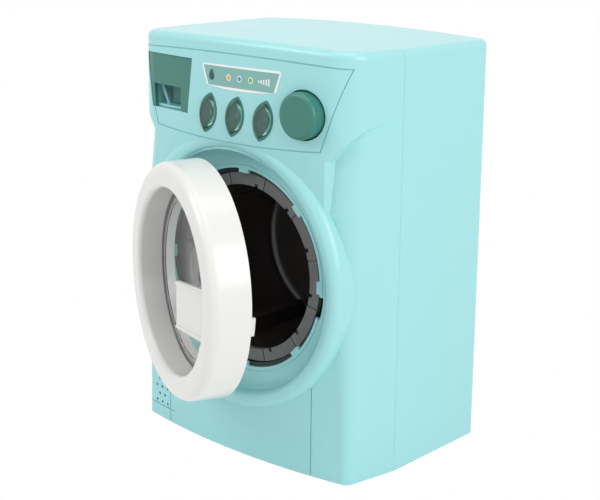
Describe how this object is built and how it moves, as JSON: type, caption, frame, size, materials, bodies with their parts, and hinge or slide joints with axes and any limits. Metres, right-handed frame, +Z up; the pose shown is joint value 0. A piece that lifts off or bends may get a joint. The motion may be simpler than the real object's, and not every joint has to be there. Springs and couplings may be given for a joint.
{
  "type": "toy washing machine",
  "caption": "Toy front-loading washing machine with hinged round door, latch handle, sliding drawer, turning knob and motor-driven drum.",
  "frame": {"origin": "centre of the base on the floor, midway between the front corners and the back", "axes": "+X to the object's right as seen from the front, -Y out of the front, +Z up"},
  "size_m": [0.219, 0.234, 0.302],
  "materials": {
    "mint_shell": "glossy moulded ABS, pale mint",
    "green_plastic": "satin moulded ABS, sea green",
    "white_plastic": "glossy moulded ABS, warm white",
    "clear_window": "clear polystyrene",
    "clear_lens": "clear polystyrene",
    "smoky_drum": "dark smoky polystyrene",
    "grey_plastic": "moulded grey ABS",
    "dark_green": "very dark green ABS",
    "reflector": "silvered plastic",
    "label": "printed film with a plain pattern",
    "gear_plastic": "natural acetal",
    "black_plastic": "black ABS",
    "board": "brown paper laminate",
    "lamp": "diffused white epoxy",
    "steel": "zinc-plated steel",
    "motor_steel": "pressed steel can"
  },
  "bodies": {
    "housing": {"front_shell": "mint_shell", "rear_shell": "mint_shell", "case_screws": "steel", "panel_label": "label", "lens_frames": "green_plastic", "lamp_lenses": "clear_lens", "lamp_reflectors": "reflector", "indicator_lamps": "lamp", "control_board": "board", "board_screws": "steel", "rotary_switch": "black_plastic", "hinge_pin": "steel", "drum_seat_ring": "dark_green", "drum_axle": "steel", "motor": "motor_steel", "motor_bracket": "black_plastic", "bracket_screws": "steel", "speaker": "black_plastic", "speaker_clamp": "black_plastic", "battery_box": "mint_shell", "battery_contacts": "steel", "battery_cover": "mint_shell", "battery_screw": "steel", "power_switch": "black_plastic"},
    "door": {"door_ring": "white_plastic", "door_back_ring": "white_plastic", "door_window": "clear_window", "door_screws": "steel", "handle_pin": "steel", "handle_spring": "steel"},
    "door_handle": {"door_handle": "white_plastic"},
    "drawer": {"drawer_front": "green_plastic", "drawer_tray": "mint_shell"},
    "knob": {"knob_cap": "green_plastic", "knob_shaft": "gear_plastic"},
    "drum": {"drum_front_ring": "grey_plastic", "drum_shell": "smoky_drum", "drum_lifters": "smoky_drum", "drum_gear": "gear_plastic"},
    "motor_drive": {"motor_pinion": "gear_plastic", "motor_shaft": "steel"},
    "switch_slider": {"switch_slider": "black_plastic"}
  },
  "joints": [
    {"name": "door_hinge", "type": "hinge", "parent": "housing", "child": "door", "pos_m": [-0.088, -0.083, 0.136], "axis": [0, 0, -1], "range_deg": [-23, 77]},
    {"name": "handle_pull", "type": "hinge", "parent": "door", "child": "door_handle", "pos_m": [0.05452, -0.15034, 0.129], "axis": [0, 0, 1], "range_deg": [0, 8], "stiffness_Nm_per_rad": 0.2},
    {"name": "drawer_slide", "type": "slide", "parent": "housing", "child": "drawer", "axis": [0, -1, 0], "range_m": [0, 0.036]},
    {"name": "knob_turn", "type": "hinge", "parent": "housing", "child": "knob", "pos_m": [0.0655, -0.08, 0.256], "axis": [0, 1, 0], "range_deg": [-120, 120]},
    {"name": "drum_spin", "type": "hinge", "parent": "housing", "child": "drum", "pos_m": [0, 0, 0.136], "axis": [0, 1, 0], "continuous": true},
    {"name": "motor_spin", "type": "hinge", "parent": "housing", "child": "motor_drive", "pos_m": [0, 0.04, 0.1735], "axis": [0, 1, 0], "continuous": true},
    {"name": "switch_slide", "type": "slide", "parent": "housing", "child": "switch_slider", "axis": [0, 0, 1], "range_m": [0, 0.004]}
  ],
  "couplings": [
    {"joint": "motor_spin", "follows": "drum_spin", "ratio": -4}
  ]
}
